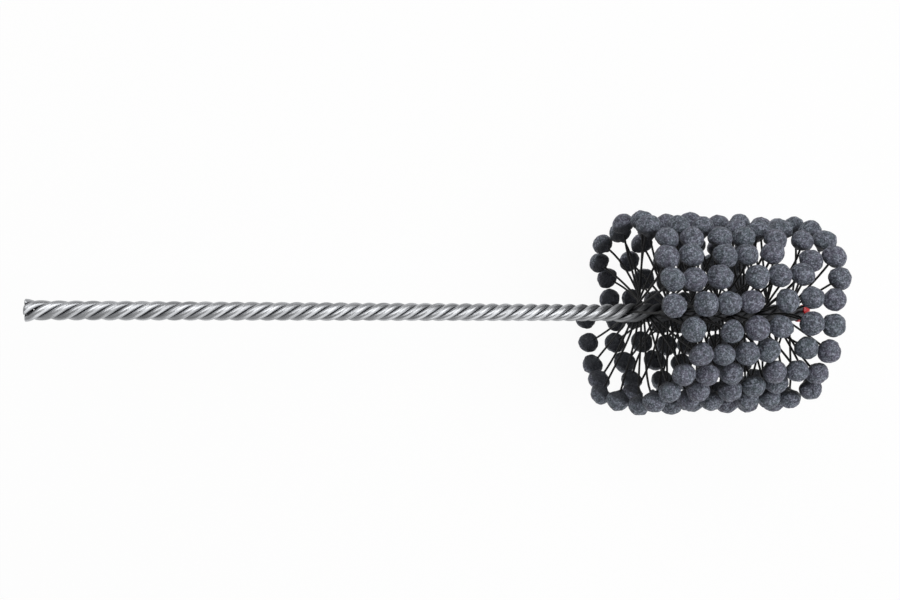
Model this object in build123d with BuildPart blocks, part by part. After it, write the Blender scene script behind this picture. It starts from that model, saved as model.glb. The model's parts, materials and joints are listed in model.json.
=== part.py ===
from build123d import *
import math
import os

# Flexible ball hone: a stem of twisted steel wire grips a bundle of nylon filaments, and an abrasive
# globule is moulded on both ends of each filament. The bent tip of the stem is dipped in vinyl.
# X runs along the stem, from its cut end at the origin to the tip. Z is up. Sizes are in millimetres.

# Whole tool
overall_length = 343.0
free_diameter = 93.0

# Stem: two hairpins of round wire lie side by side, so four strands are twisted together
wire_diameter = 2.95
strand_clearance = 0.07
shank_lead = 23.8
cut_end_spread = 0.40
cut_end_run = 7.0
cut_end_chamfer = 0.25
cut_allowance = 3.0

# Bundle: each filament runs right through the stem and has a globule at both ends
filament_diameter = 1.0
filament_spacing = 0.10
filament_count = 78
ends_per_turn = 24
grip_clearance = 0.03
first_end_angle = 7.5
spread_run = 12.0

# Globules: a half ball outside, and a flatter base and a neck towards the stem
globule_gap = 0.32
globule_base = 3.3
neck_diameter = 1.9
neck_length = 1.2
neck_blend = 1.5
filament_fit = 0.03
filament_depth = 2.0
bore_tip_gap = 0.10

# Tip: the bend of each hairpin, dipped in vinyl
eye_radius = 2.4
bare_straight = 1.0
coated_straight = 1.2
run_out = 3.6
coating_thickness = 0.50
coating_fit = 0.01

# The strands' paths are short runs joined by tangent arcs, which take this share of each run's end
points_per_turn = 8
arc_share = 0.49

# Lay of the head: the filaments lie side by side, a turn of ends to each turn of the stem
filament_pitch = filament_diameter + filament_spacing
head_lead = ends_per_turn * filament_pitch
end_step = 360 / ends_per_turn
columns_per_side = ends_per_turn // 2

# Stations along the stem
eye_x = overall_length - coating_thickness - wire_diameter / 2 - eye_radius
coating_x = eye_x - coated_straight
straight_x = coating_x - bare_straight
last_filament_x = straight_x - run_out
first_filament_x = last_filament_x - (filament_count - 1) * filament_pitch
spread_x = first_filament_x - spread_run

# Globules are as large as fit side by side round the head
half_step_sine = math.sin(math.radians(end_step / 2))
globule_diameter = (free_diameter * half_step_sine - globule_gap) / (1 + half_step_sine)
globule_radius = globule_diameter / 2
globule_circle = free_diameter / 2 - globule_radius
filament_reach = globule_circle + filament_depth

# Half distances between strands: beside each other along the filaments, and across their layer
shank_twist = 2 * math.pi / shank_lead
head_twist = 2 * math.pi / head_lead
beside = (wire_diameter + strand_clearance) / 2
across = (wire_diameter + filament_diameter) / 2 + grip_clearance
shank_half = beside / math.sqrt(1 - (beside * shank_twist) ** 2)
cut_end_half = shank_half + cut_end_spread
head_half_beside = beside * math.sqrt(
    (1 + (across * head_twist) ** 2) / (1 - (beside * across * head_twist**2) ** 2)
)
head_half_across = across * math.sqrt(1 + (head_half_beside * head_twist) ** 2)

# Degrees of twist per millimetre, and the two half distances, at stations along the stem
twist_stations = [
    (-cut_allowance, 360 / shank_lead),
    (spread_x, 360 / shank_lead),
    (first_filament_x, 360 / head_lead),
    (last_filament_x, 360 / head_lead),
    (straight_x, 0.0),
]
beside_stations = [
    (0.0, cut_end_half),
    (cut_end_run, shank_half),
    (spread_x, shank_half),
    (first_filament_x - filament_pitch, head_half_beside),
    (last_filament_x + filament_pitch, head_half_beside),
    (straight_x, beside),
]
across_stations = [
    (0.0, cut_end_half),
    (cut_end_run, shank_half),
    (spread_x, shank_half),
    (first_filament_x - filament_pitch, head_half_across),
    (last_filament_x + filament_pitch, head_half_across),
    (straight_x, eye_radius),
]


def eased(stations, x):
    """Value at x, with a soft start and stop between each station and the next."""
    for (x0, v0), (x1, v1) in zip(stations, stations[1:]):
        if x <= x1:
            share = max(0.0, (x - x0) / (x1 - x0))
            return v0 + (v1 - v0) * share * share * (3 - 2 * share)
    return stations[-1][1]


def twist_rate(x):
    """Degrees of twist per millimetre at x."""
    for (x0, rate0), (x1, rate1) in zip(twist_stations, twist_stations[1:]):
        if x0 <= x <= x1:
            return rate0 + (rate1 - rate0) * (x - x0) / (x1 - x0)
    return 0.0


def turned(x):
    """Degrees that the stem has turned between the start of its strands and x."""
    total = 0.0
    for (x0, rate0), (x1, rate1) in zip(twist_stations, twist_stations[1:]):
        length = min(max(x - x0, 0.0), x1 - x0)
        total += rate0 * length + (rate1 - rate0) * length**2 / (2 * (x1 - x0))
    return total


def bundle_angle(x):
    """Direction of the filaments at x, in degrees from up (+Z) towards +Y: a left-handed lay."""
    return first_end_angle + turned(x) - turned(first_filament_x)


def radial(angle):
    """Unit vector square to the stem, at an angle in degrees from up (+Z) towards +Y."""
    return Vector(0, math.sin(math.radians(angle)), math.cos(math.radians(angle)))


def strand_offset(x, side, leg):
    """From the stem's axis to a strand at x: side picks the hairpin, and leg its over or under half."""
    angle = bundle_angle(x)
    offset = radial(angle) * (side * eased(beside_stations, x))
    return offset + radial(angle + 90) * (leg * eased(across_stations, x))


def strand_point(x, side, leg):
    """Centre of a strand at x."""
    return Vector(x, 0, 0) + strand_offset(x, side, leg)


def strand_points(side, leg):
    """Corners of a strand's path, set out so far that the arcs between them follow the strand."""
    steps = math.ceil(turned(straight_x) / 360 * points_per_turn)
    step = (straight_x + cut_allowance) / steps
    corners = []
    for i in range(steps + 1):
        x = i * step - cut_allowance
        half_step = math.radians(twist_rate(x) * step / 2)
        corners.append(Vector(x, 0, 0) + strand_offset(x, side, leg) / math.cos(half_step))
    return corners + [strand_point(eye_x, side, leg)]


def arc_radii(points):
    """Radius at each inner point, so that its arc takes an equal share of the shorter run beside it."""
    radii = []
    for before, here, after in zip(points, points[1:], points[2:]):
        run_in = here - before
        run_out_of = after - here
        half_turn = math.radians(run_in.get_angle(run_out_of)) / 2
        radii.append(arc_share * min(run_in.length, run_out_of.length) / math.tan(half_turn))
    return radii


def strand(points):
    """A strand's line through its points, as runs joined by tangent arcs."""
    return FilletPolyline(*points, radius=arc_radii(points))


def bend(side):
    """The half circle from the upper strand of a hairpin to its lower strand."""
    return ThreePointArc(
        strand_point(eye_x, side, 1),
        strand_point(eye_x, side, 0) + Vector(eye_radius, 0, 0),
        strand_point(eye_x, side, -1),
    )


def dipped_line(side):
    """The line of the dipped stretch of a hairpin: straight, round the bend and straight back."""
    Line(strand_point(coating_x, side, 1), strand_point(eye_x, side, 1))
    bend(side)
    Line(strand_point(eye_x, side, -1), strand_point(coating_x, side, -1))


def filament_plane(index, height):
    """Plane square to a filament, at a height from the stem's axis, facing away from the stem."""
    x = first_filament_x + index * filament_pitch
    out = radial(bundle_angle(x))
    return Plane(Vector(x, 0, 0) + out * height, x_dir=(1, 0, 0), z_dir=out)


def globule_seat(index, end):
    """Where a globule sits on a filament, its neck towards the stem. end is 1 or -1."""
    seat = filament_plane(index, end * globule_circle)
    return Plane(seat.origin, x_dir=seat.x_dir, z_dir=seat.z_dir * end)


def finish(piece, name):
    """Label a piece and write it."""
    piece.label = name
    export_step(piece, f"parts/{name}.step")


os.makedirs("parts", exist_ok=True)

# Stem hairpins: up one strand, round the bend and back along the other, cut square and deburred
for side, name in ((1, "stem_hairpin_a"), (-1, "stem_hairpin_b")):
    with BuildPart() as hairpin:
        with BuildLine() as path:
            strand(strand_points(side, 1))
            bend(side)
            strand(strand_points(side, -1)[::-1])
        with BuildSketch(Plane(path.wire() @ 0, z_dir=path.wire() % 0)):
            Circle(wire_diameter / 2)
        sweep(clean=False)
        split(bisect_by=Plane.YZ)
        chamfer(hairpin.faces().filter_by(Plane.YZ).edges(), length=cut_end_chamfer)
    finish(hairpin.part, name)

# Tip coating: one skin over both bends
with BuildPart() as coating:
    for side in (1, -1):
        with BuildLine() as path:
            dipped_line(side)
        with BuildSketch(Plane(path.wire() @ 0, z_dir=path.wire() % 0)):
            Circle(wire_diameter / 2 + coating_thickness)
        sweep()
    for side in (1, -1):
        with BuildLine() as path:
            dipped_line(side)
        with BuildSketch(Plane(path.wire() @ 0, z_dir=path.wire() % 0)):
            Circle(wire_diameter / 2 + coating_fit)
        sweep(mode=Mode.SUBTRACT)
finish(coating.part, "tip_coating")

# Filaments: straight through the stem, grouped by the two opposite columns that their ends belong to
for group in range(columns_per_side):
    with BuildPart() as filaments:
        for index in range(group, filament_count, columns_per_side):
            with BuildSketch(filament_plane(index, 0)):
                Circle(filament_diameter / 2)
            extrude(amount=filament_reach, both=True)
    finish(filaments.part, f"filaments_{group + 1:02d}")

# Globule: a dome with a flatter base and a short neck, moulded round the end of its filament
with BuildPart() as globule:
    with BuildSketch(Plane.XZ) as profile:
        Circle(globule_radius)
        split(bisect_by=Plane.XZ, keep=Keep.BOTTOM)
        Ellipse(globule_radius, globule_base)
        with Locations((0, -globule_base)):
            Rectangle(neck_diameter, 2 * (neck_length + neck_blend))
        fillet(profile.vertices().group_by(Axis.Y)[1], radius=neck_blend)
        with Locations((0, -globule_base - neck_length)):
            Rectangle(
                globule_diameter,
                globule_diameter,
                align=(Align.CENTER, Align.MAX),
                mode=Mode.SUBTRACT,
            )
        split(bisect_by=Plane.YZ)
        with Locations((0, filament_depth + bore_tip_gap)):
            Rectangle(
                filament_diameter + 2 * filament_fit,
                2 * globule_diameter,
                align=(Align.CENTER, Align.MAX),
                mode=Mode.SUBTRACT,
            )
    revolve(axis=Axis.Z)

# Columns of globules: the ends that lie in line along the tool, from both ends of the filaments
for column in range(ends_per_turn):
    with BuildPart() as globules:
        for index in range(column % columns_per_side, filament_count, columns_per_side):
            end = 1 if (index - column) % ends_per_turn == 0 else -1
            with Locations(globule_seat(index, end).location):
                add(globule.part)
    finish(globules.part, f"globule_column_{column + 1:02d}")
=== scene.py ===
"""Looks of a flexible ball hone: twisted wire stem, nylon filaments, abrasive globules and a dipped tip."""
import json
import math

import bmesh
import bpy
import numpy as np
from mathutils import Matrix, Vector


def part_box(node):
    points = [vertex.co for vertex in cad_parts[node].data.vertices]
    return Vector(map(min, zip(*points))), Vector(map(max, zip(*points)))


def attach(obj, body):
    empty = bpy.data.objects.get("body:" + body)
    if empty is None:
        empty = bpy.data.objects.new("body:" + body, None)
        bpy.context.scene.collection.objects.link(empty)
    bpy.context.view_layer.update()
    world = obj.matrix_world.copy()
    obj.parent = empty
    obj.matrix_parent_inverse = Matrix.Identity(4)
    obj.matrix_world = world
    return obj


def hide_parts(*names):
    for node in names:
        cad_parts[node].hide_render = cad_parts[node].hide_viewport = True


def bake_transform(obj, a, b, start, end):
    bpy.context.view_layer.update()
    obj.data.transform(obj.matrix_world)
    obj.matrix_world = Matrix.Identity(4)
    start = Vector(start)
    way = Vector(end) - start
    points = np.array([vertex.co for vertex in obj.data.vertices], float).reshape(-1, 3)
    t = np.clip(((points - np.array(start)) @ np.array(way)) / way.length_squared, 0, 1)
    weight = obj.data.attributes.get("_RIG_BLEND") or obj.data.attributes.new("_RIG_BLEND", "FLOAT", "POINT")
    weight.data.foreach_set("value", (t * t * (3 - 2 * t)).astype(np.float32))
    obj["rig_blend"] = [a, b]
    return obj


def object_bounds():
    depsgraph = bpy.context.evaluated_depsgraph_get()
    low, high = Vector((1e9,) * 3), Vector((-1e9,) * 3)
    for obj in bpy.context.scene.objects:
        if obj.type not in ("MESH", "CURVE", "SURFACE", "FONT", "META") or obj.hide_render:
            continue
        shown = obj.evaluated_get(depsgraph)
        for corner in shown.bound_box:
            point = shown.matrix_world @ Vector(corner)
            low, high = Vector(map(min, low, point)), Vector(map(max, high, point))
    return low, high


bl_info = {
    "name": "Flexible Ball Hone",
    "version": (1, 0, 0),
    "blender": (4, 5, 0),
    "location": "3D View > Sidebar > Ball Hone",
    "description": "Twisted wire stem, nylon filaments, abrasive globules and a dipped tip",
    "category": "Add Mesh",
}

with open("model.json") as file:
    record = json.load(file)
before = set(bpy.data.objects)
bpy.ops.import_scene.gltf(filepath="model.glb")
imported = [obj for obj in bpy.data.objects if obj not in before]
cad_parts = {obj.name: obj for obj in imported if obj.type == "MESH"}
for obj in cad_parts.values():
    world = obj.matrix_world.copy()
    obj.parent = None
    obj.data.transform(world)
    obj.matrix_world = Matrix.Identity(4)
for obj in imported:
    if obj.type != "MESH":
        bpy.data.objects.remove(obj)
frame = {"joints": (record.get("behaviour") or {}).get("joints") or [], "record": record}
cad_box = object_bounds()

STEM_BODY = "stem"

# Which side of the stem's middle each hairpin takes
HAIRPINS = {"stem_hairpin_a": 1, "stem_hairpin_b": -1}
TIP_NODE = "tip_coating"
UP = Vector((0, 0, 1))
ALONG = Vector((1, 0, 0))
SEED = 109


def radial(angle):
    """Unit vector square to the stem, at an angle in radians from up (+Z) towards +Y."""
    return Vector((0, math.sin(angle), math.cos(angle)))


class Column:
    """One column of globules, read from the frame: its body, nodes, direction and the globules' places."""

    def __init__(self, joint):
        self.body = joint["child"]
        self.node = frame["record"]["behaviour"]["bodies"][self.body][0]
        self.filaments = joint["deforming_nodes"][0]["node"]
        root = Vector(joint["pos_m"])
        self.root_height = math.hypot(root.y, root.z)
        self.angle = math.atan2(root.y, root.z)
        self.out = radial(self.angle)
        low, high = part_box(self.node)
        self.start = low.x
        self.length = high.x - low.x


def read_columns():
    """All columns of the frame, with the places of their globules along the stem."""
    columns = [Column(joint) for joint in frame["joints"]]
    lengths = sorted({round(c.length, 5) for c in columns})
    row = lengths[-1] - lengths[0]
    for c in columns:
        steps = math.floor(c.length / row)
        c.globule = c.length - row * steps
        c.places = [c.start + c.globule / 2 + row * i for i in range(steps + 1)]
    return columns


COLUMNS = read_columns()
GLOBULE = COLUMNS[0].globule
GLOBULE_CIRCLE = (cad_box[1].z - GLOBULE / 2) / math.cos(COLUMNS[0].angle)
FREE_RADIUS = GLOBULE_CIRCLE + GLOBULE / 2
ROW = COLUMNS[0].places[1] - COLUMNS[0].places[0]
HEAD_LEAD = 2 * ROW
FILAMENT_PITCH = HEAD_LEAD / len(COLUMNS)
FIRST_X = min(c.places[0] for c in COLUMNS)
FIRST_ANGLE = COLUMNS[0].angle
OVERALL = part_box(TIP_NODE)[1].x

# The first globules lean out over the stem on both far flanks. Each stretch has its middle and its half
# width in degrees round the stem, from up (+Z) towards +Y, and the lean fades out along the head.
SPLAY_LEFT = (130, 40)
SPLAY_RIGHT = (250, 31)
SPLAY_LENGTH = 2 * ROW

# Globules that would touch are pushed apart in steps, and each step undoes a share of every overlap.
# A share of the lumps' height is kept free inside the free diameter.
SETTLE_STEPS = 400
SETTLE_SHARE = 0.35
LUMPS_SHARE = 0.65

# Spread of the filaments' stray bends out of their smooth lines
BOW = 0.0014

# Grid on which the dip flows together over both bends, and how much it is smoothed
TIP_GRID = 0.00016
TIP_SMOOTHING = 0.5
TIP_SMOOTHING_STEPS = 14

# Each lamp's place from the middle of the tool, and the side of its square
LAMPS = {
    "key": ((-0.35, 0.68, 0.66), 0.8),
    "top": ((0.42, 0.1, 0.82), 0.8),
    "fill": ((0.45, -0.95, 0.5), 1.6),
}

# Width of the camera's sensor in millimetres, and half the side of the floor
SENSOR = 36.0
FLOOR_HALF = 3.0

# How much of the floor is seen as plain white, and how bright mirrors see the surroundings
FLOOR_GLOW = 0.94
MIRRORED_SKY = 0.45


# Settings


class HoneStemSettings(bpy.types.PropertyGroup):
    """Sizes and colours of the stem and its dipped tip"""

    wire: bpy.props.FloatProperty(
        name="Wire", description="Diameter of the stem's wire", default=0.00295, unit="LENGTH"
    )
    clearance: bpy.props.FloatProperty(
        name="Clearance", description="Gap between strands lying side by side",
        default=0.00007, unit="LENGTH",
    )
    grip: bpy.props.FloatProperty(
        name="Grip", description="Gap between a strand and a filament",
        default=0.00003, unit="LENGTH",
    )
    lead: bpy.props.FloatProperty(
        name="Shank lead", description="Length of one turn of the shank's strands",
        default=0.0238, unit="LENGTH",
    )
    cut_run: bpy.props.FloatProperty(
        name="Cut end run", description="Length over which the cut end spreads",
        default=0.007, unit="LENGTH",
    )
    cut_spread: bpy.props.FloatProperty(
        name="Cut end spread", description="How far the strands part at the cut end",
        default=0.0004, unit="LENGTH",
    )
    cut_allowance: bpy.props.FloatProperty(
        name="Cut allowance", description="Length of strand that is cut off square",
        default=0.003, unit="LENGTH",
    )
    cut_chamfer: bpy.props.FloatProperty(
        name="Cut end chamfer", description="Width of the deburred edge",
        default=0.00025, unit="LENGTH",
    )
    spread_run: bpy.props.FloatProperty(
        name="Spread run", description="Length over which the strands part for the filaments",
        default=0.012, unit="LENGTH",
    )
    run_out: bpy.props.FloatProperty(
        name="Run out", description="Length over which the twist ends after the last filament",
        default=0.0036, unit="LENGTH",
    )
    bare_straight: bpy.props.FloatProperty(
        name="Bare straight", description="Straight wire before the dip",
        default=0.001, unit="LENGTH",
    )
    coated_straight: bpy.props.FloatProperty(
        name="Coated straight", description="Straight wire under the dip",
        default=0.0012, unit="LENGTH",
    )
    eye_radius: bpy.props.FloatProperty(
        name="Bend radius", description="Radius of the bend's centre line",
        default=0.0024, unit="LENGTH",
    )
    coating: bpy.props.FloatProperty(
        name="Dip", description="Thickness of the vinyl dip", default=0.0005, unit="LENGTH"
    )
    points: bpy.props.IntProperty(
        name="Points", description="Points in each turn of a strand", default=24, min=8
    )
    sides: bpy.props.IntProperty(
        name="Sides", description="Points round a strand", default=28, min=8
    )
    steel: bpy.props.FloatVectorProperty(
        name="Steel", description="Colour of the clean wire",
        default=(0.465, 0.474, 0.49), subtype="COLOR",
    )
    # colour of the painted shade in the valleys and inside the head, and of the real dark specks
    shade_and_speck_colour: bpy.props.FloatVectorProperty(
        name="Grime", description="Colour of the dirt between strands",
        default=(0.035, 0.036, 0.04), subtype="COLOR",
    )
    vinyl: bpy.props.FloatVectorProperty(
        name="Vinyl", description="Colour of the dipped tip",
        default=(0.55, 0.012, 0.02), subtype="COLOR",
    )


class HoneHeadSettings(bpy.types.PropertyGroup):
    """Sizes and colours of the filaments and globules"""

    filament: bpy.props.FloatProperty(
        name="Filament", description="Diameter of a filament", default=0.001, unit="LENGTH"
    )
    filament_sides: bpy.props.IntProperty(
        name="Filament sides", description="Points round a filament", default=8, min=3
    )
    filament_points: bpy.props.IntProperty(
        name="Filament points", description="Points along a filament", default=12, min=2
    )
    wander_along: bpy.props.FloatProperty(
        name="Wander along", description="How far globules stray along the tool",
        default=0.0024, unit="LENGTH",
    )
    wander_round: bpy.props.FloatProperty(
        name="Wander round", description="How far globules stray round the tool",
        default=0.0022, unit="LENGTH",
    )
    wander_in: bpy.props.FloatProperty(
        name="Wander in", description="How far globules stray towards the stem",
        default=0.0022, unit="LENGTH",
    )
    splay_left: bpy.props.FloatProperty(
        name="Splay left", description="How far the first globules lean out on the far left",
        default=0.01, unit="LENGTH",
    )
    splay_right: bpy.props.FloatProperty(
        name="Splay right", description="How far the first globules lean out on the far right",
        default=0.011, unit="LENGTH",
    )
    size_spread: bpy.props.FloatProperty(
        name="Size spread", description="Share by which globules differ in size",
        default=0.04, subtype="FACTOR",
    )
    oval_spread: bpy.props.FloatProperty(
        name="Oval spread", description="Share by which globules are out of round",
        default=0.07, subtype="FACTOR",
    )
    free_gap: bpy.props.FloatProperty(
        name="Free gap", description="Least gap between globules", default=0.0003, unit="LENGTH"
    )
    base: bpy.props.FloatProperty(
        name="Base", description="Depth of a globule's stem side, as a share of its radius",
        default=0.66, subtype="FACTOR",
    )
    neck: bpy.props.FloatProperty(
        name="Neck", description="How far the compound runs down the filament",
        default=0.0013, unit="LENGTH",
    )
    neck_width: bpy.props.FloatProperty(
        name="Neck width", description="Radius within which a globule is drawn out",
        default=0.0021, unit="LENGTH",
    )
    lumps: bpy.props.FloatProperty(
        name="Lumps", description="Height of a globule's broad unevenness",
        default=0.0009, unit="LENGTH",
    )
    grit: bpy.props.FloatProperty(
        name="Grit", description="Height of the grain on a globule", default=0.00018, unit="LENGTH"
    )
    detail: bpy.props.IntProperty(
        name="Detail", description="Subdivisions of a globule's sphere", default=4, min=2, max=6
    )
    abrasive: bpy.props.FloatVectorProperty(
        name="Abrasive", description="Colour of the globules",
        default=(0.115, 0.124, 0.149), subtype="COLOR",
    )
    nylon: bpy.props.FloatVectorProperty(
        name="Nylon", description="Colour of the filaments",
        default=(0.005, 0.0052, 0.0058), subtype="COLOR",
    )


class HoneStageSettings(bpy.types.PropertyGroup):
    """Camera, floor and lamps"""

    lens: bpy.props.FloatProperty(
        name="Lens", description="Focal length on a 36 mm sensor",
        default=36.0, subtype="DISTANCE_CAMERA",
    )
    shank_end: bpy.props.FloatVectorProperty(
        name="Shank end", description="Cut end of the stem from the camera: right, down and ahead",
        default=(-0.1596, 0.00387, 0.3380), subtype="TRANSLATION", precision=5,
    )
    turn: bpy.props.FloatProperty(
        name="Turn", description="Angle by which the stem leads away from the camera",
        default=math.radians(15.40), subtype="ANGLE",
    )
    droop: bpy.props.FloatProperty(
        name="Droop", description="Angle by which the stem falls to the right of the picture",
        default=math.radians(0.424), subtype="ANGLE",
    )
    floor: bpy.props.FloatVectorProperty(
        name="Floor", description="Colour of the floor",
        default=(0.86, 0.855, 0.845), subtype="COLOR",
    )
    key: bpy.props.FloatProperty(
        name="Key", description="Power of the small side lamp", default=5.4, unit="POWER"
    )
    top: bpy.props.FloatProperty(
        name="Top", description="Power of the lamp overhead", default=5.5, unit="POWER"
    )
    fill: bpy.props.FloatProperty(
        name="Fill", description="Power of the broad side lamp", default=10.0, unit="POWER"
    )
    sky: bpy.props.FloatProperty(
        name="Sky", description="Brightness of the surroundings", default=0.05
    )


# The stem's lay, the same as that of its solids


class Lay:
    """Twist of the stem and places of its strands along it."""

    def __init__(self, s, filament):
        self.eye_x = OVERALL - s.coating - s.wire / 2 - s.eye_radius
        self.coating_x = self.eye_x - s.coated_straight
        self.straight_x = self.coating_x - s.bare_straight
        self.eye_radius = s.eye_radius
        spread_x = FIRST_X - s.spread_run
        shank_rate, head_rate = 2 * math.pi / s.lead, 2 * math.pi / HEAD_LEAD
        beside = (s.wire + s.clearance) / 2
        across = (s.wire + filament) / 2 + s.grip
        shank_half = beside / math.sqrt(1 - (beside * shank_rate) ** 2)
        head_beside = beside * math.sqrt(
            (1 + (across * head_rate) ** 2) / (1 - (beside * across * head_rate**2) ** 2)
        )
        head_across = across * math.sqrt(1 + (head_beside * head_rate) ** 2)
        last_x = self.straight_x - s.run_out
        self.start_x = -s.cut_allowance
        self.rates = [
            (self.start_x, shank_rate), (spread_x, shank_rate), (FIRST_X, head_rate),
            (last_x, head_rate), (self.straight_x, 0.0),
        ]
        ends = (
            0.0, s.cut_run, spread_x, FIRST_X - FILAMENT_PITCH, last_x + FILAMENT_PITCH, self.straight_x
        )
        cut_half = shank_half + s.cut_spread
        self.beside = list(zip(ends, (cut_half, shank_half, shank_half, head_beside, head_beside, beside)))
        self.across = list(
            zip(ends, (cut_half, shank_half, shank_half, head_across, head_across, s.eye_radius))
        )

    @staticmethod
    def eased(stations, x):
        """Value at x, with a soft start and stop between each station and the next."""
        for (x0, v0), (x1, v1) in zip(stations, stations[1:]):
            if x <= x1:
                share = max(0.0, (x - x0) / (x1 - x0))
                return v0 + (v1 - v0) * share * share * (3 - 2 * share)
        return stations[-1][1]

    def turned(self, x):
        """Radians that the stem has turned between the start of its strands and x."""
        total = 0.0
        for (x0, rate0), (x1, rate1) in zip(self.rates, self.rates[1:]):
            length = min(max(x - x0, 0.0), x1 - x0)
            total += rate0 * length + (rate1 - rate0) * length**2 / (2 * (x1 - x0))
        return total

    def strand(self, x, side, leg):
        """Centre of a strand at x: side picks the hairpin, leg its half over or under the filaments."""
        angle = FIRST_ANGLE + self.turned(x) - self.turned(FIRST_X)
        beside = radial(angle) * side * self.eased(self.beside, x)
        return Vector((x, 0, 0)) + beside + radial(angle + math.pi / 2) * leg * self.eased(self.across, x)

    def bend(self, side, steps):
        """Points round the bend from the upper strand to the lower one, without its two ends."""
        centre = self.strand(self.eye_x, side, 0)
        over = self.strand(self.eye_x, side, 1) - centre
        angles = [math.pi * i / steps for i in range(1, steps)]
        return [centre + over * math.cos(a) + ALONG * self.eye_radius * math.sin(a) for a in angles]


# Node building


class Tree:
    """Adds nodes to a node tree and joins them."""

    def __init__(self, tree):
        self.tree = tree

    def add(self, kind, inputs=None, **settings):
        """A node, with its settings and with values or sockets put to its inputs by name or number."""
        node = self.tree.nodes.new(kind)
        node.location = (220 * (len(self.tree.nodes) % 12), -260 * (len(self.tree.nodes) // 12))
        for name, value in settings.items():
            setattr(node, name, value)
        for key, value in (inputs or {}).items():
            if isinstance(value, bpy.types.NodeSocket):
                self.link(value, node.inputs[key])
            else:
                node.inputs[key].default_value = value
        return node

    def math(self, operation, *values, clamp=False):
        """Result of a Math node."""
        inputs = dict(enumerate(values))
        return self.add("ShaderNodeMath", inputs, operation=operation, use_clamp=clamp).outputs[0]

    def vector(self, operation, *values, out="Vector"):
        """Result of a Vector Math node."""
        return self.add("ShaderNodeVectorMath", dict(enumerate(values)), operation=operation).outputs[out]

    def scaled(self, vector, factor):
        """A vector times a number."""
        return self.add("ShaderNodeVectorMath", {0: vector, "Scale": factor}, operation="SCALE").outputs[0]

    def combine(self, x, y, z):
        """A vector from three numbers."""
        return self.add("ShaderNodeCombineXYZ", {0: x, 1: y, 2: z}).outputs[0]

    def ramp(self, value, low, high):
        """Value mapped softly from low..high to 0..1, held at both ends."""
        inputs = {0: value, 1: low, 2: high, 3: 0.0, 4: 1.0}
        return self.add("ShaderNodeMapRange", inputs, interpolation_type="SMOOTHSTEP").outputs[0]

    def noise(self, vector, scale, detail=2.0, roughness=0.5):
        """Noise between 0 and 1."""
        inputs = {"Vector": vector, "Scale": scale, "Detail": detail, "Roughness": roughness}
        return self.add("ShaderNodeTexNoise", inputs).outputs[0]

    def mix(self, factor, a, b):
        """Colour between a and b."""
        return self.add("ShaderNodeMix", {0: factor, 6: a, 7: b}, data_type="RGBA").outputs[2]

    def link(self, value, socket):
        """Joins an output to an input."""
        self.tree.links.new(value, socket)


def add_sockets(tree, inputs, outputs):
    """Named sockets of a node group. inputs and outputs map a name to its type or to (type, default)."""
    for direction, sockets in (("INPUT", inputs), ("OUTPUT", outputs)):
        for name, kind in sockets.items():
            kind, default = kind if isinstance(kind, tuple) else (kind, None)
            socket = tree.interface.new_socket(name=name, in_out=direction, socket_type="NodeSocket" + kind)
            if default is not None:
                socket.default_value = default


def geometry_group(name, inputs):
    """A geometry node group with named inputs. Gives the group, its node builder and its input node."""
    group = bpy.data.node_groups.new(name, "GeometryNodeTree")
    add_sockets(group, {"Geometry": "Geometry", **inputs}, {"Geometry": "Geometry"})
    build = Tree(group)
    return group, build, build.add("NodeGroupInput")


def close_group(build, geometry, material):
    """Ends a geometry node group: real geometry, smooth, with its material."""
    real = build.add("GeometryNodeRealizeInstances", {"Geometry": geometry})
    smooth = build.add("GeometryNodeSetShadeSmooth", {"Geometry": real.outputs[0]})
    finish = build.add("GeometryNodeSetMaterial", {"Geometry": smooth.outputs[0], "Material": material})
    build.add("NodeGroupOutput", {"Geometry": finish.outputs[0]})


def attribute(build, name, kind="FLOAT"):
    """A named attribute of the geometry."""
    return build.add("GeometryNodeInputNamedAttribute", {"Name": name}, data_type=kind).outputs[0]


def store(build, geometry, name, value, kind="FLOAT"):
    """Geometry with a value stored on its points."""
    inputs = {"Geometry": geometry, "Name": name, "Value": value}
    return build.add("GeometryNodeStoreNamedAttribute", inputs, data_type=kind, domain="POINT").outputs[0]


def shader_group(name, inputs, outputs):
    """A shader node group. Gives the group, its node builder and its input node."""
    group = bpy.data.node_groups.new(name, "ShaderNodeTree")
    add_sockets(group, inputs, outputs)
    build = Tree(group)
    return group, build, build.add("NodeGroupInput")


def material(name):
    """A new material. Gives it, its node builder and its Principled BSDF."""
    made = bpy.data.materials.new(name)
    made.use_nodes = True
    build = Tree(made.node_tree)
    return made, build, made.node_tree.nodes["Principled BSDF"]


def place_group(build, group, **inputs):
    """A shader group placed in a material, with its inputs by name."""
    named = {name.replace("_", " "): value for name, value in inputs.items()}
    return build.add("ShaderNodeGroup", named, node_tree=group)


def bump(build, shader, height, distance):
    """Gives a shader its fine relief."""
    node = build.add("ShaderNodeBump", {"Height": height, "Distance": distance, "Strength": 1.0})
    build.link(node.outputs[0], shader.inputs["Normal"])


def stored(build, name, output="Fac"):
    """A value that the mesh holds, read by a material."""
    return build.add("ShaderNodeAttribute", attribute_name=name).outputs[output]


def shade(colour, *factors):
    """A colour times a factor, or times one factor for each channel, with its alpha."""
    factors = factors * 3 if len(factors) == 1 else factors
    return tuple(c * f for c, f in zip(colour, factors)) + (1.0,)


def make_mesh(name, points, edges=(), values=None):
    """A mesh of points and edges, with values on its points."""
    mesh = bpy.data.meshes.new(name)
    mesh.from_pydata([tuple(p) for p in points], list(edges), [])
    for key, data in (values or {}).items():
        flat = np.asarray(data, dtype=np.float32)
        kind = "FLOAT" if flat.ndim == 1 else "FLOAT_VECTOR"
        mesh.attributes.new(key, kind, "POINT").data.foreach_set(
            "value" if kind == "FLOAT" else "vector", flat.ravel()
        )
    return mesh


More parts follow.
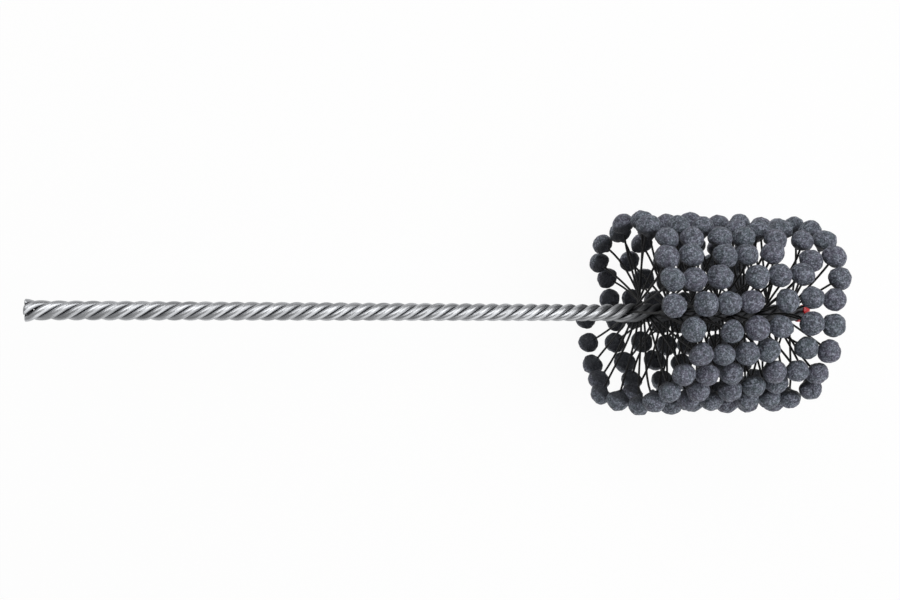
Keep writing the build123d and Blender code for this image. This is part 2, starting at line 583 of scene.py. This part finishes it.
def grow(name, mesh, group, inputs):
    """A piece that a geometry node group makes from a mesh, as a plain mesh."""
    piece = bpy.data.objects.new(name, mesh)
    bpy.context.scene.collection.objects.link(piece)
    modifier = piece.modifiers.new(group.name, "NODES")
    modifier.node_group = group
    for socket in group.interface.items_tree:
        if socket.item_type == "SOCKET" and socket.in_out == "INPUT" and socket.name in inputs:
            modifier[socket.identifier] = inputs[socket.name]
    depsgraph = bpy.context.evaluated_depsgraph_get()
    made = bpy.data.meshes.new_from_object(
        piece.evaluated_get(depsgraph), preserve_all_data_layers=True, depsgraph=depsgraph
    )
    piece.modifiers.remove(modifier)
    piece.data = made
    made.name = name
    bpy.data.meshes.remove(mesh)
    return piece


# Shared effects


def speckle_group():
    """Grains scattered through a surface: a mask of light grains, one of dark ones, and a height."""
    group, build, given = shader_group(
        "Speckle",
        {"Vector": "Vector", "Grain": ("Float", 1500.0), "Light share": ("Float", 0.3),
         "Dark share": ("Float", 0.3)},
        {"Light": "Float", "Dark": "Float", "Height": "Float"},
    )
    vector, grain = given.outputs["Vector"], given.outputs["Grain"]
    fine = build.noise(vector, grain, 2.5, 0.65)
    coarse = build.noise(vector, build.math("MULTIPLY", grain, 0.42), 2.0, 0.6)
    cells = build.add(
        "ShaderNodeTexVoronoi", {"Vector": vector, "Scale": build.math("MULTIPLY", grain, 0.8)}
    ).outputs["Distance"]
    blend = build.math("ADD", build.math("MULTIPLY", fine, 0.6), build.math("MULTIPLY", coarse, 0.4))
    top = build.math("SUBTRACT", 0.62, build.math("MULTIPLY", given.outputs["Light share"], 0.12))
    light = build.ramp(blend, top, build.math("ADD", top, 0.05))
    low = build.math("ADD", 0.38, build.math("MULTIPLY", given.outputs["Dark share"], 0.12))
    dark = build.ramp(blend, low, build.math("SUBTRACT", low, 0.05))
    height = build.math("SUBTRACT", fine, build.math("MULTIPLY", cells, 0.35))
    build.add("NodeGroupOutput", {"Light": light, "Dark": dark, "Height": height})
    return group


def streak_group():
    """Lines that run along a drawn wire or filament, in its own straightened-out coordinates."""
    group, build, given = shader_group(
        "Streaks",
        {"Vector": "Vector", "Across": ("Float", 2500.0), "Along": ("Float", 60.0)},
        {"Streak": "Float", "Patch": "Float"},
    )
    parts = build.add("ShaderNodeSeparateXYZ", {0: given.outputs["Vector"]})
    across, along = given.outputs["Across"], given.outputs["Along"]
    stretched = build.combine(
        build.math("MULTIPLY", parts.outputs[0], across),
        build.math("MULTIPLY", parts.outputs[1], across),
        build.math("MULTIPLY", parts.outputs[2], along),
    )
    streak = build.noise(stretched, 1.0, 3.0, 0.6)
    patch = build.noise(given.outputs["Vector"], build.math("MULTIPLY", along, 4.0), 2.0, 0.5)
    build.add("NodeGroupOutput", {"Streak": streak, "Patch": patch})
    return group


def shared(name, make):
    """A node group or material, made when it is first asked for."""
    found = bpy.data.node_groups.get(name) or bpy.data.materials.get(name)
    return found or make()


def speckle():
    """The group of scattered grains."""
    return shared("Speckle", speckle_group)


def streaks():
    """The group of drawn lines."""
    return shared("Streaks", streak_group)


def steel_material(s):
    """Bright drawn wire: streaks along the strand, dark specks, and painted shade in the valleys between
    strands and towards the head.
    """
    made, build, shader = material("bright_steel_wire")
    strand = stored(build, "strand", "Vector")
    outward = stored(build, "outward")
    place = build.add("ShaderNodeTexCoord").outputs["Object"]
    station = build.add("ShaderNodeSeparateXYZ", {0: place}).outputs[0]
    lines = place_group(build, streaks(), Vector=strand, Across=950.0, Along=22.0)
    specks = place_group(build, speckle(), Vector=place, Grain=900.0, Light_share=0.0, Dark_share=0.0)
    # painted shade in the valleys where strands lie against each other
    valley = build.ramp(outward, 0.5, 0.2)
    # painted shade on the stem inside the head, under the filaments and globules
    head = build.ramp(station, FIRST_X - s.spread_run, FIRST_X + s.spread_run)
    painted_shade_and_specks = build.math("MAXIMUM", valley, build.math("MULTIPLY", head, 0.92))
    # real dark specks, added on top of the painted shade
    painted_shade_and_specks = build.math("ADD", painted_shade_and_specks, build.math("MULTIPLY", specks.outputs["Dark"], 0.2), clamp=True)
    bright = build.ramp(lines.outputs["Streak"], 0.34, 0.62)
    clean = build.mix(bright, shade(s.steel, 0.6), shade(s.steel, 1.0))
    colour = build.mix(painted_shade_and_specks, clean, shade(s.shade_and_speck_colour, 1.0))
    build.link(colour, shader.inputs["Base Color"])
    shader.inputs["Metallic"].default_value = 1.0
    rough = build.math("ADD", 0.3, build.math("MULTIPLY", lines.outputs["Patch"], 0.14))
    rough = build.math("ADD", rough, build.math("MULTIPLY", painted_shade_and_specks, 0.25), clamp=True)
    build.link(rough, shader.inputs["Roughness"])
    bump(build, shader, lines.outputs["Streak"], 0.000006)
    return made


def nylon_material(s):
    """Black filament with fine grit through it and a low sheen along it."""
    made, build, shader = material("black_nylon")
    strand = stored(build, "strand", "Vector")
    lines = place_group(build, streaks(), Vector=strand, Across=3000.0, Along=120.0)
    grit = place_group(build, speckle(), Vector=strand, Grain=4200.0, Light_share=0.25, Dark_share=0.2)
    pale = build.math("MULTIPLY", grit.outputs["Light"], 0.5)
    colour = build.mix(pale, shade(s.nylon, 1.0), shade(s.nylon, 3.5))
    build.link(colour, shader.inputs["Base Color"])
    rough = build.math("ADD", 0.38, build.math("MULTIPLY", lines.outputs["Streak"], 0.25))
    build.link(rough, shader.inputs["Roughness"])
    shader.inputs["Specular IOR Level"].default_value = 0.22
    bump(build, shader, grit.outputs["Height"], 0.00003)
    return made


def abrasive_material(s):
    """Moulded abrasive: matt slate grey with light and dark grains, painted shade in its pits and on its
    side towards the stem.
    """
    made, build, shader = material("slate_abrasive")
    grains = stored(build, "grain", "Vector")
    tone = stored(build, "tone")
    hollow = stored(build, "relief")
    dome = stored(build, "dome")
    specks = place_group(build, speckle(), Vector=grains, Grain=1500.0, Light_share=0.8, Dark_share=0.8)
    greenish, purplish = shade(s.abrasive, 0.88, 1.02, 0.97), shade(s.abrasive, 1.12, 1.0, 1.12)
    pale, deep = shade(s.abrasive, 3.1), shade(s.abrasive, 0.22)
    mottle = build.ramp(build.noise(grains, 420.0), 0.38, 0.62)
    tint = build.math("MULTIPLY", build.math("ADD", tone, mottle), 0.5)
    colour = build.mix(tint, greenish, purplish)
    colour = build.mix(build.math("MULTIPLY", specks.outputs["Light"], 0.6), colour, pale)
    colour = build.mix(build.math("MULTIPLY", specks.outputs["Dark"], 0.62), colour, deep)
    # painted shade in the pits of the grain
    colour = build.mix(build.math("MULTIPLY", build.ramp(hollow, 0.5, 0.3), 0.5), colour, deep)
    # painted shade on each globule's side towards the stem, where the head shades it
    colour = build.mix(build.math("MULTIPLY", build.ramp(dome, 0.2, -0.4), 0.88), colour, deep)
    build.link(colour, shader.inputs["Base Color"])
    rough = build.math("SUBTRACT", 0.6, build.math("MULTIPLY", specks.outputs["Light"], 0.2))
    build.link(rough, shader.inputs["Roughness"])
    shader.inputs["Specular IOR Level"].default_value = 0.25
    bump(build, shader, specks.outputs["Height"], 0.0005)
    return made


def vinyl_material(s):
    """Glossy dipped vinyl, a little cloudy, with faint dark specks."""
    made, build, shader = material("red_vinyl")
    place = build.add("ShaderNodeTexCoord").outputs["Object"]
    dust = place_group(build, speckle(), Vector=place, Grain=1800.0, Light_share=0.0, Dark_share=0.2)
    cloud = build.noise(place, 420.0)
    deep = shade(s.vinyl, 0.55)
    colour = build.mix(build.ramp(cloud, 0.35, 0.7), deep, shade(s.vinyl, 1.0))
    colour = build.mix(build.math("MULTIPLY", dust.outputs["Dark"], 0.25), colour, deep)
    build.link(colour, shader.inputs["Base Color"])
    rough = build.math("ADD", 0.22, build.math("MULTIPLY", cloud, 0.16))
    build.link(rough, shader.inputs["Roughness"])
    bump(build, shader, cloud, 0.0001)
    return made


# Stem


def swept(build, line, given):
    """A round tube along a line, which holds its straightened-out place for streaks that follow it."""
    length = build.add("GeometryNodeSplineParameter").outputs["Length"]
    line = store(build, line, "along", length)
    section = build.add(
        "GeometryNodeCurvePrimitiveCircle",
        {"Resolution": given.outputs["Sides"], "Radius": given.outputs["Radius"]},
    ).outputs[0]
    here = build.add("GeometryNodeInputPosition").outputs[0]
    section = store(build, section, "ring", here, "FLOAT_VECTOR")
    tube = build.add(
        "GeometryNodeCurveToMesh", {"Curve": line, "Profile Curve": section, "Fill Caps": True}
    ).outputs[0]
    along = build.combine(0.0, 0.0, attribute(build, "along"))
    straight = build.vector("ADD", attribute(build, "ring", "FLOAT_VECTOR"), along)
    return store(build, tube, "strand", straight, "FLOAT_VECTOR")


def strand_tree():
    """Sweeps a round section along a line, and stores how much its surface faces away from the stem."""
    group, build, given = geometry_group(
        "Swept strand",
        {"Radius": ("Float", 0.0015), "Sides": ("Int", 24), "Material": "Material"},
    )
    line = build.add("GeometryNodeMeshToCurve", {"Mesh": given.outputs["Geometry"]}).outputs[0]
    tube = swept(build, line, given)
    parts = build.add("ShaderNodeSeparateXYZ", {0: build.add("GeometryNodeInputPosition").outputs[0]})
    away = build.vector("NORMALIZE", build.combine(0.0, parts.outputs[1], parts.outputs[2]))
    normal = build.add("GeometryNodeInputNormal").outputs[0]
    tube = store(build, tube, "outward", build.vector("DOT_PRODUCT", away, normal, out="Value"))
    close_group(build, tube, given.outputs["Material"])
    return group


def hairpin_line(lay, s, side):
    """Points of a hairpin's centre line, from before its cut end and back."""
    steps = math.ceil(lay.turned(lay.straight_x) / (2 * math.pi) * s.points)
    run = (lay.straight_x - lay.start_x) / steps
    stations = [lay.start_x + run * i for i in range(steps + 1)] + [lay.eye_x]
    up = [lay.strand(x, side, 1) for x in stations]
    down = [lay.strand(x, side, -1) for x in stations]
    return up + lay.bend(side, s.points) + down[::-1]


def cut_square(mesh, lay, s, side):
    """Cuts a hairpin's two strands square at the origin, closes them and breaks the cut's edge."""
    made = bmesh.new()
    made.from_mesh(mesh)
    everything = made.verts[:] + made.edges[:] + made.faces[:]
    bmesh.ops.bisect_plane(
        made, geom=everything, plane_co=ALONG * s.cut_chamfer, plane_no=ALONG, clear_inner=True
    )
    inset = 1 - s.cut_chamfer / (s.wire / 2)
    outward = made.verts.layers.float["outward"]
    for leg in (1, -1):
        inner, other = lay.strand(s.cut_chamfer, side, leg), lay.strand(s.cut_chamfer, side, -leg)
        outer = lay.strand(0.0, side, leg)
        open_edges = [e for e in made.edges if e.is_boundary]
        rim = [e for e in open_edges if (e.verts[0].co - inner).length < (e.verts[0].co - other).length]
        broken = bmesh.ops.extrude_edge_only(made, edges=rim)["geom"]
        for vertex in (v for v in broken if isinstance(v, bmesh.types.BMVert)):
            vertex.co = outer + (vertex.co - inner) * inset
            vertex[outward] = 1.0
        edge = [e for e in broken if isinstance(e, bmesh.types.BMEdge) and e.is_boundary]
        cap = bmesh.ops.edgeloop_fill(made, edges=edge)["faces"]
        for face in cap + [f for f in broken if isinstance(f, bmesh.types.BMFace)]:
            face.smooth = False
    bmesh.ops.recalc_face_normals(made, faces=made.faces[:])
    made.to_mesh(mesh)
    made.free()


class HONE_OT_stem(bpy.types.Operator):
    """Make the two wire hairpins that are twisted into the stem"""

    bl_idname = "hone.stem"
    bl_label = "Stem Wires"

    def execute(self, context):
        s, head = context.scene.hone_stem, context.scene.hone_head
        lay = Lay(s, head.filament)
        steel = shared("bright_steel_wire", lambda: steel_material(s))
        group = shared("Swept strand", strand_tree)
        for node, side in HAIRPINS.items():
            points = hairpin_line(lay, s, side)
            edges = [(i, i + 1) for i in range(len(points) - 1)]
            piece = grow(
                node + "_wire", make_mesh("line", points, edges), group,
                {"Radius": s.wire / 2, "Sides": s.sides, "Material": steel},
            )
            cut_square(piece.data, lay, s, side)
            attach(piece, STEM_BODY)
            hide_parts(node)
        return {"FINISHED"}


# Tip


def dipped_lines(lay, s):
    """Points and edges of the two dipped stretches: straight, round the bend and straight back."""
    points, edges = [], []
    for side in HAIRPINS.values():
        first = len(points)
        points += [lay.strand(lay.coating_x, side, 1), lay.strand(lay.eye_x, side, 1)]
        points += lay.bend(side, s.points)
        points += [lay.strand(lay.eye_x, side, -1), lay.strand(lay.coating_x, side, -1)]
        edges += [(i, i + 1) for i in range(first, len(points) - 1)]
    return points, edges


class HONE_OT_tip(bpy.types.Operator):
    """Make the vinyl skin over the stem's bends"""

    bl_idname = "hone.tip"
    bl_label = "Dipped Tip"

    def execute(self, context):
        s, head = context.scene.hone_stem, context.scene.hone_head
        lay = Lay(s, head.filament)
        vinyl = shared("red_vinyl", lambda: vinyl_material(s))
        points, edges = dipped_lines(lay, s)
        piece = grow(
            "tip_skin", make_mesh("line", points, edges), shared("Swept strand", strand_tree),
            {"Radius": s.wire / 2 + s.coating, "Sides": s.sides, "Material": vinyl},
        )
        remesh = piece.modifiers.new("Flow together", "REMESH")
        remesh.mode = "VOXEL"
        remesh.voxel_size = TIP_GRID
        relax = piece.modifiers.new("Surface tension", "SMOOTH")
        relax.factor = TIP_SMOOTHING
        relax.iterations = TIP_SMOOTHING_STEPS
        depsgraph = context.evaluated_depsgraph_get()
        made = bpy.data.meshes.new_from_object(piece.evaluated_get(depsgraph), depsgraph=depsgraph)
        piece.modifiers.clear()
        piece.data = made
        made.materials.clear()
        made.materials.append(vinyl)
        made.shade_smooth()
        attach(piece, STEM_BODY)
        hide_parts(TIP_NODE)
        return {"FINISHED"}


# Head


class Globules:
    """Places, sizes and directions of all globules, strayed a little and kept from touching."""

    def __init__(self, s):
        random = np.random.default_rng(SEED)
        numbers = [number for number, c in enumerate(COLUMNS) for _ in c.places]
        roots = [Vector((x, 0, 0)) for c in COLUMNS for x in c.places]
        outs = [COLUMNS[number].out for number in numbers]
        grid = np.array([root + out * GLOBULE_CIRCLE for root, out in zip(roots, outs)])
        self.column, self.roots, self.out = np.array(numbers), np.array(roots), np.array(outs)
        self.hinge = self.out * COLUMNS[0].root_height
        side = np.cross(self.out, np.array(ALONG))
        count = len(grid)
        self.size = 1 + random.uniform(-1, 1, count) * s.size_spread
        stray = (
            np.array(ALONG) * random.uniform(-1, 1, count)[:, None] * s.wander_along
            + side * random.uniform(-1, 1, count)[:, None] * s.wander_round
            - self.out * random.uniform(0, 1, count)[:, None] * s.wander_in
        )
        early = np.clip(1 - (grid[:, 0] - FIRST_X) / SPLAY_LENGTH, 0, 1)
        angle = np.degrees(np.arctan2(self.out[:, 1], self.out[:, 2])) % 360
        for reach, (middle, half_width) in ((s.splay_left, SPLAY_LEFT), (s.splay_right, SPLAY_RIGHT)):
            stray[:, 0] -= early * reach * np.exp(-(((angle - middle) / half_width) ** 2))
        self.tone = random.uniform(0, 1, count)
        self.oval = 1 - random.uniform(0, s.oval_spread, count)
        self.spin = random.uniform(0, 2 * math.pi, count)
        self.bow = random.normal(0, BOW, (count, 3))
        self.places = self.settle(grid + stray, s)

    @staticmethod
    def turned(arms, angle):
        """Vectors turned by an angle about the direction of the stem."""
        made = arms.copy()
        made[:, 1] = arms[:, 1] * math.cos(angle) - arms[:, 2] * math.sin(angle)
        made[:, 2] = arms[:, 1] * math.sin(angle) + arms[:, 2] * math.cos(angle)
        return made

    def settle(self, places, s):
        """Places pushed apart until no globules touch at rest or leaning, inside the free diameter."""
        swing = math.radians(frame["joints"][0]["range_deg"][1])
        reach = (self.size[:, None] + self.size[None]) * GLOBULE / 2 + s.free_gap
        top = FREE_RADIUS - self.size * GLOBULE / 2 - LUMPS_SHARE * s.lumps
        low, high = cad_box[0].x + GLOBULE / 2, cad_box[1].x - GLOBULE / 2
        itself = np.eye(len(places))
        for _ in range(SETTLE_STEPS):
            push = np.zeros_like(places)
            for angle in (0.0, swing, -swing):
                here = self.hinge + self.turned(places - self.hinge, angle)
                apart = here[:, None] - here[None]
                distance = np.linalg.norm(apart, axis=2) + itself
                short = np.clip(reach - distance, 0, None) * (1 - itself)
                shift = (apart / distance[..., None] * short[..., None]).sum(1) * SETTLE_SHARE
                push += self.turned(shift, -angle)
            places = places + push
            height = np.hypot(places[:, 1], places[:, 2])
            over = np.clip(height - top, 0, None) / height
            places[:, 1:] -= places[:, 1:] * over[:, None]
            places[:, 0] = places[:, 0].clip(low, high)
        return places

    def filaments_of(self, number):
        """Which globules are a column's own, and the roots, handles and tips of their filaments."""
        own = self.column == number
        roots = self.roots[own]
        return own, roots, roots + self.out[own] * GLOBULE_CIRCLE / 2, self.places[own]


def globule_tree():
    """Sets a drawn-out, uneven ball on each point, its tail towards the stem."""
    group, build, given = geometry_group(
        "Globules",
        {"Diameter": ("Float", 0.01), "Detail": ("Int", 4), "Base": ("Float", 0.6),
         "Neck": ("Float", 0.001), "Neck width": ("Float", 0.002), "Lumps": ("Float", 0.0002),
         "Grit": ("Float", 0.0001), "Material": "Material"},
    )
    half = build.math("DIVIDE", given.outputs["Diameter"], 2.0)
    ball = build.add(
        "GeometryNodeMeshIcoSphere", {"Radius": half, "Subdivisions": given.outputs["Detail"]}
    ).outputs["Mesh"]
    here = build.add("GeometryNodeInputPosition").outputs[0]
    ball = store(build, ball, "grain", here, "FLOAT_VECTOR")
    parts = build.add("ShaderNodeSeparateXYZ", {0: here})
    ball = store(build, ball, "dome", build.math("DIVIDE", parts.outputs[2], half))
    aside = build.vector("LENGTH", build.combine(parts.outputs[0], parts.outputs[1], 0.0), out="Value")
    near = build.ramp(aside, given.outputs["Neck width"], 0.0)
    below = build.math("LESS_THAN", parts.outputs[2], 0.0)
    tail = build.math("MULTIPLY", build.math("MULTIPLY", near, below), given.outputs["Neck"])
    short = build.math("MULTIPLY", parts.outputs[2], build.math("SUBTRACT", given.outputs["Base"], 1.0))
    shift = build.math("SUBTRACT", build.math("MULTIPLY", short, below), tail)
    ball = build.add(
        "GeometryNodeSetPosition", {"Geometry": ball, "Offset": build.combine(0.0, 0.0, shift)}
    ).outputs[0]
    spin = attribute(build, "spin")
    upright = build.add("FunctionNodeAxisAngleToRotation", {"Axis": UP, "Angle": spin}).outputs[0]
    turn = build.add(
        "FunctionNodeAlignRotationToVector",
        {"Rotation": upright, "Vector": attribute(build, "out", "FLOAT_VECTOR")}, axis="Z",
    ).outputs[0]
    size = attribute(build, "size")
    scale = build.combine(size, build.math("MULTIPLY", size, attribute(build, "oval")), size)
    balls = build.add(
        "GeometryNodeInstanceOnPoints",
        {"Points": given.outputs["Geometry"], "Instance": ball, "Rotation": turn, "Scale": scale},
    ).outputs[0]
    balls = build.add("GeometryNodeRealizeInstances", {"Geometry": balls}).outputs[0]
    # each globule takes its grain from another part of the pattern
    grain = attribute(build, "grain", "FLOAT_VECTOR")
    shifted = build.vector("ADD", grain, build.scaled(build.combine(1.0, 2.0, 3.0), spin))
    balls = store(build, balls, "grain", shifted, "FLOAT_VECTOR")
    broad = build.math("SUBTRACT", build.noise(grain, 230.0, 2.0, 0.6), 0.5)
    fine = build.noise(grain, 1500.0, 1.5, 0.6)
    balls = store(build, balls, "relief", fine)
    normal = build.add("GeometryNodeInputNormal").outputs[0]
    lumps = build.math("MULTIPLY", broad, build.math("MULTIPLY", given.outputs["Lumps"], 2.0))
    pits = build.math("SUBTRACT", attribute(build, "relief"), 0.62)
    lift = build.math("ADD", lumps, build.math("MULTIPLY", pits, given.outputs["Grit"]))
    balls = build.add(
        "GeometryNodeSetPosition", {"Geometry": balls, "Offset": build.scaled(normal, lift)}
    ).outputs[0]
    close_group(build, balls, given.outputs["Material"])
    return group


def filament_tree():
    """Draws a filament from each point's root to its globule: straight out of the stem, then bending."""
    group, build, given = geometry_group(
        "Filaments",
        {"Radius": ("Float", 0.0005), "Sides": ("Int", 10), "Points": ("Int", 16), "Material": "Material"},
    )
    last = build.math("SUBTRACT", given.outputs["Points"], 1.0)
    share = build.math("DIVIDE", build.add("GeometryNodeInputIndex").outputs[0], last)
    line = build.add("GeometryNodeMeshLine", {"Count": given.outputs["Points"]}).outputs[0]
    line = store(build, line, "share", share)
    lines = build.add(
        "GeometryNodeInstanceOnPoints", {"Points": given.outputs["Geometry"], "Instance": line}
    ).outputs[0]
    lines = build.add("GeometryNodeRealizeInstances", {"Geometry": lines}).outputs[0]
    # a curve from root to tip, drawn by the handle, with a bow that fades out at both ends
    t = attribute(build, "share")
    rest = build.math("SUBTRACT", 1.0, t)
    start = build.scaled(attribute(build, "root", "FLOAT_VECTOR"), build.math("MULTIPLY", rest, rest))
    between = build.math("MULTIPLY", build.math("MULTIPLY", rest, t), 2.0)
    middle = build.scaled(attribute(build, "handle", "FLOAT_VECTOR"), between)
    end = build.scaled(attribute(build, "tip", "FLOAT_VECTOR"), build.math("MULTIPLY", t, t))
    arch = build.math("MULTIPLY", build.math("MULTIPLY", t, t), build.math("MULTIPLY", rest, 6.0))
    bow = build.scaled(attribute(build, "bow", "FLOAT_VECTOR"), arch)
    place = build.vector("ADD", build.vector("ADD", start, middle), build.vector("ADD", end, bow))
    lines = build.add("GeometryNodeSetPosition", {"Geometry": lines, "Position": place}).outputs[0]
    curve = build.add("GeometryNodeMeshToCurve", {"Mesh": lines}).outputs[0]
    close_group(build, swept(build, curve, given), given.outputs["Material"])
    return group


LAYOUT = {}


def head_layout(context):
    """The globules' places, worked out once."""
    if "globules" not in LAYOUT:
        LAYOUT["globules"] = Globules(context.scene.hone_head)
    return LAYOUT["globules"]


class HONE_OT_globules(bpy.types.Operator):
    """Make the abrasive globules, one mesh for each column"""

    bl_idname = "hone.globules"
    bl_label = "Globules"

    def execute(self, context):
        s = context.scene.hone_head
        head = head_layout(context)
        group = shared("Globules", globule_tree)
        abrasive = shared("slate_abrasive", lambda: abrasive_material(s))
        for number, c in enumerate(COLUMNS):
            own, roots, handles, tips = head.filaments_of(number)
            ways = tips - handles
            ways /= np.linalg.norm(ways, axis=1)[:, None]
            values = {
                "out": ways, "size": head.size[own], "oval": head.oval[own], "spin": head.spin[own],
                "tone": head.tone[own],
            }
            piece = grow(
                c.node + "_grains", make_mesh("points", tips, values=values), group,
                {"Diameter": GLOBULE, "Detail": s.detail, "Base": s.base, "Neck": s.neck,
                 "Neck width": s.neck_width, "Lumps": s.lumps, "Grit": s.grit, "Material": abrasive},
            )
            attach(piece, c.body)
            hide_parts(c.node)
        return {"FINISHED"}


class HONE_OT_filaments(bpy.types.Operator):
    """Make the filaments, one mesh for each column, bending between stem and globules"""

    bl_idname = "hone.filaments"
    bl_label = "Filaments"

    def execute(self, context):
        s = context.scene.hone_head
        head = head_layout(context)
        group = shared("Filaments", filament_tree)
        nylon = shared("black_nylon", lambda: nylon_material(s))
        for number, c in enumerate(COLUMNS):
            own, roots, handles, tips = head.filaments_of(number)
            values = {"root": roots, "handle": handles, "tip": tips, "bow": head.bow[own]}
            piece = grow(
                c.node.replace("globule", "filament"), make_mesh("points", roots, values=values), group,
                {"Radius": s.filament / 2, "Sides": s.filament_sides, "Points": s.filament_points,
                 "Material": nylon},
            )
            start, end = c.out * c.root_height, c.out * (GLOBULE_CIRCLE - GLOBULE / 2 - s.neck)
            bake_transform(piece, STEM_BODY, c.body, start=start, end=end)
            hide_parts(c.filaments)
        return {"FINISHED"}


# Stage


def stage_material(s):
    """Pale floor that a camera, a mirror or a glass sees as white, with the object's soft shadow."""
    made, build, shader = material("pale_floor")
    rays = build.add("ShaderNodeLightPath")
    seen = build.math("MAXIMUM", rays.outputs["Is Camera Ray"], rays.outputs["Is Glossy Ray"])
    seen = build.math("MAXIMUM", seen, rays.outputs["Is Transmission Ray"])
    place = build.add("ShaderNodeTexCoord").outputs["Object"]
    tooth = build.noise(place, 900.0, 3.0)
    build.link(build.mix(tooth, shade(s.floor, 1.0), shade(s.floor, 0.985)), shader.inputs["Base Color"])
    shader.inputs["Roughness"].default_value = 0.9
    glow = build.add("ShaderNodeEmission", {"Strength": 1.0})
    share = build.math("MULTIPLY", seen, FLOOR_GLOW)
    mixed = build.add("ShaderNodeMixShader", {0: share, 1: shader.outputs[0], 2: glow.outputs[0]})
    output = made.node_tree.nodes["Material Output"]
    build.link(mixed.outputs[0], output.inputs["Surface"])
    return made


def area_lamp(name, place, target, size, power):
    """A soft square lamp that faces a target."""
    data = bpy.data.lights.new(name, "AREA")
    data.size = size
    data.energy = power
    lamp = bpy.data.objects.new(name, data)
    lamp.location = place
    lamp.rotation_euler = (Vector(target) - Vector(place)).to_track_quat("-Z", "Y").to_euler()
    bpy.context.scene.collection.objects.link(lamp)


def make_floor(scene, s):
    """A square floor under the lowest globules."""
    low = cad_box[0].z
    corners = [(x * FLOOR_HALF, y * FLOOR_HALF, low) for x, y in ((-1, -1), (1, -1), (1, 1), (-1, 1))]
    mesh = bpy.data.meshes.new("floor")
    mesh.from_pydata(corners, [], [(0, 1, 2, 3)])
    mesh.materials.append(stage_material(s))
    floor = bpy.data.objects.new("floor", mesh)
    scene.collection.objects.link(floor)


def make_world(scene, s):
    """White surroundings for the camera and glass, dimmer ones for mirrors and a faint light."""
    world = bpy.data.worlds.new("studio")
    scene.world = world
    world.use_nodes = True
    build = Tree(world.node_tree)
    background = world.node_tree.nodes["Background"]
    rays = build.add("ShaderNodeLightPath")
    seen = build.math("MAXIMUM", rays.outputs["Is Camera Ray"], rays.outputs["Is Transmission Ray"])
    mirrored = build.math("MULTIPLY", rays.outputs["Is Glossy Ray"], MIRRORED_SKY)
    level = build.math("MAXIMUM", build.math("MAXIMUM", seen, mirrored), s.sky)
    build.link(level, background.inputs["Strength"])
    background.inputs["Color"].default_value = (1, 1, 1, 1)


def make_camera(scene, s):
    """A camera that sees the stem's cut end at its place, and the stem at its turn and droop."""
    # the tool's own axes in the camera's terms: right, down and ahead
    along = Vector((
        math.cos(s.turn) * math.cos(s.droop), math.sin(s.droop), math.sin(s.turn) * math.cos(s.droop)
    ))
    down = Vector((0, 1, 0))
    across = (along * along.dot(down) - down).normalized()
    near = along.cross(across)
    to_tool = Matrix((along, across, near))
    data = bpy.data.cameras.new("camera")
    data.sensor_width = SENSOR
    data.lens = s.lens
    camera = bpy.data.objects.new("camera", data)
    scene.collection.objects.link(camera)
    place = -(to_tool @ Vector(s.shank_end))
    turn = (to_tool @ Matrix.Diagonal((1, -1, -1))).to_4x4()
    camera.matrix_world = Matrix.Translation(place) @ turn
    scene.camera = camera


class HONE_OT_stage(bpy.types.Operator):
    """Make the floor, the lamps, the surroundings and the camera"""

    bl_idname = "hone.stage"
    bl_label = "Stage"

    def execute(self, context):
        scene, s = context.scene, context.scene.hone_stage
        scene.view_settings.view_transform = "Standard"
        make_floor(scene, s)
        middle = (cad_box[0] + cad_box[1]) / 2
        for name, (offset, size) in LAMPS.items():
            area_lamp(name, middle + Vector(offset), middle, size, getattr(s, name))
        make_world(scene, s)
        make_camera(scene, s)
        return {"FINISHED"}


class HONE_PT_panel(bpy.types.Panel):
    """The hone's sizes, colours and makers"""

    bl_idname = "HONE_PT_panel"
    bl_label = "Ball Hone"
    bl_space_type = "VIEW_3D"
    bl_region_type = "UI"
    bl_category = "Ball Hone"

    def draw(self, context):
        layout = self.layout
        for owner in (context.scene.hone_stem, context.scene.hone_head, context.scene.hone_stage):
            box = layout.box()
            for key in owner.__annotations__:
                box.prop(owner, key)
        for operator in OPERATORS:
            layout.operator(operator.bl_idname)


SETTINGS = {"hone_stem": HoneStemSettings, "hone_head": HoneHeadSettings, "hone_stage": HoneStageSettings}
OPERATORS = (HONE_OT_stage, HONE_OT_stem, HONE_OT_tip, HONE_OT_filaments, HONE_OT_globules)


def register():
    """Adds the settings, the makers and the panel."""
    for made in (*SETTINGS.values(), *OPERATORS, HONE_PT_panel):
        bpy.utils.register_class(made)
    for name, settings in SETTINGS.items():
        setattr(bpy.types.Scene, name, bpy.props.PointerProperty(type=settings))


def unregister():
    """Takes away what register() adds."""
    for name in SETTINGS:
        delattr(bpy.types.Scene, name)
    for made in (HONE_PT_panel, *reversed(OPERATORS), *SETTINGS.values()):
        bpy.utils.unregister_class(made)


def main():
    """Makes the stage and every piece."""
    register()
    bpy.ops.hone.stage()
    bpy.ops.hone.stem()
    bpy.ops.hone.tip()
    bpy.ops.hone.filaments()
    bpy.ops.hone.globules()


if __name__ == "__main__":
    main()
